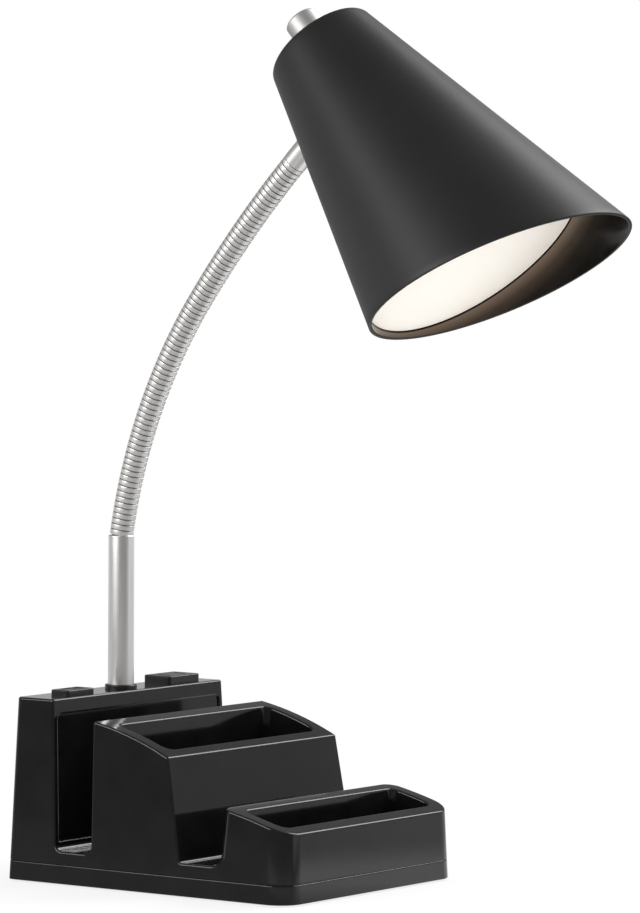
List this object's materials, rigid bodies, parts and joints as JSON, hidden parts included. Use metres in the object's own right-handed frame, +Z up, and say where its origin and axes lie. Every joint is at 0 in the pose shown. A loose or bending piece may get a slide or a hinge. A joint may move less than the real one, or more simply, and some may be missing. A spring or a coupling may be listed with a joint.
{
  "type": "desk lamp with organizer base",
  "caption": "Gooseneck desk lamp with a tilted conical shade on a moulded base that holds a tablet slot, a pen cup, a phone cradle and a front tray.",
  "frame": {"origin": "on the desk, at the centre of the non-slip pad under the middle of the base", "axes": "+Z up, +Y to the back, the lamp and its front tray face -Y, +X to the right seen from the front"},
  "size_m": [0.1461, 0.3022, 0.418],
  "materials": {
    "gloss_black_plastic": "high gloss black",
    "satin_black_plastic": "satin black",
    "black_insert_plastic": "semi-gloss black",
    "black_rubber": "matt",
    "brushed_nickel": "brushed nickel plate",
    "zinc_steel": "zinc plated",
    "ballast_iron": "bare",
    "spun_aluminium": "satin",
    "milky_diffuser": "milky translucent",
    "circuit_board": "satin",
    "component_plastic": "matt",
    "white_plastic": "matt",
    "brass": "plain"
  },
  "bodies": {
    "base": {"base_housing": "gloss_black_plastic", "bottom_cover": "gloss_black_plastic", "non_slip_pad": "black_rubber", "ballast_plate": "ballast_iron", "cover_screws": "zinc_steel", "usb_bezel": "black_insert_plastic", "usb_socket_shell": "zinc_steel", "usb_tongue": "white_plastic", "charging_board": "circuit_board", "board_parts": "component_plastic", "board_screws": "zinc_steel", "outlet_insert": "black_insert_plastic", "outlet_contacts": "brass", "inlet_bushing": "black_rubber", "post_bushing": "black_insert_plastic", "post_tube": "brushed_nickel", "post_nipple": "zinc_steel", "post_washer": "zinc_steel", "post_nut": "zinc_steel", "neck_link_1": "brushed_nickel"},
    "neck_2": {"neck_link_2": "brushed_nickel"},
    "neck_3": {"neck_link_3": "brushed_nickel"},
    "neck_4": {"neck_link_4": "brushed_nickel"},
    "neck_5": {"neck_link_5": "brushed_nickel"},
    "neck_6": {"neck_link_6": "brushed_nickel"},
    "neck_7": {"neck_link_7": "brushed_nickel"},
    "head": {"neck_link_8": "brushed_nickel", "top_ferrule": "brushed_nickel", "shade_nipple": "zinc_steel", "shade_washer": "zinc_steel", "shade_nut": "zinc_steel", "shade": "satin_black_plastic", "led_carrier": "spun_aluminium", "led_board": "circuit_board", "led_chips": "white_plastic", "diffuser": "milky_diffuser", "driver_case": "component_plastic", "rotary_switch": "component_plastic", "switch_nut": "zinc_steel"},
    "dimmer_knob": {"knob": "brushed_nickel", "switch_shaft": "zinc_steel"}
  },
  "joints": [
    {"name": "neck_lean_1", "type": "hinge", "parent": "base", "child": "neck_2", "pos_m": [-0.00031, 0.06303, 0.18966], "axis": [0.9985, -0.0541, 0], "range_deg": [-12, 12]},
    {"name": "neck_lean_2", "type": "hinge", "parent": "neck_2", "child": "neck_3", "pos_m": [-0.00077, 0.05463, 0.2152], "axis": [0.9985, -0.0541, 0], "range_deg": [-12, 12]},
    {"name": "neck_swing_3", "type": "hinge", "parent": "neck_3", "child": "neck_4", "pos_m": [-0.00136, 0.04369, 0.23975], "axis": [-0.0482, -0.89, -0.4535], "range_deg": [-14, 14]},
    {"name": "neck_lean_4", "type": "hinge", "parent": "neck_4", "child": "neck_5", "pos_m": [-0.00209, 0.03031, 0.26307], "axis": [0.9985, -0.0541, 0], "range_deg": [-12, 12]},
    {"name": "neck_swing_5", "type": "hinge", "parent": "neck_5", "child": "neck_6", "pos_m": [-0.00293, 0.01471, 0.28495], "axis": [-0.0429, -0.7917, -0.6095], "range_deg": [-14, 14]},
    {"name": "neck_lean_6", "type": "hinge", "parent": "neck_6", "child": "neck_7", "pos_m": [-0.00384, -0.00216, 0.30588], "axis": [0.9985, -0.0541, 0], "range_deg": [-12, 12]},
    {"name": "neck_lean_7", "type": "hinge", "parent": "neck_7", "child": "head", "pos_m": [-0.00481, -0.02002, 0.32597], "axis": [0.9985, -0.0541, 0], "range_deg": [-14, 14]},
    {"name": "knob_turn", "type": "hinge", "parent": "head", "child": "dimmer_knob", "pos_m": [-0.00644, -0.05013, 0.40392], "axis": [0.0372, 0.6861, 0.7266], "continuous": true}
  ]
}
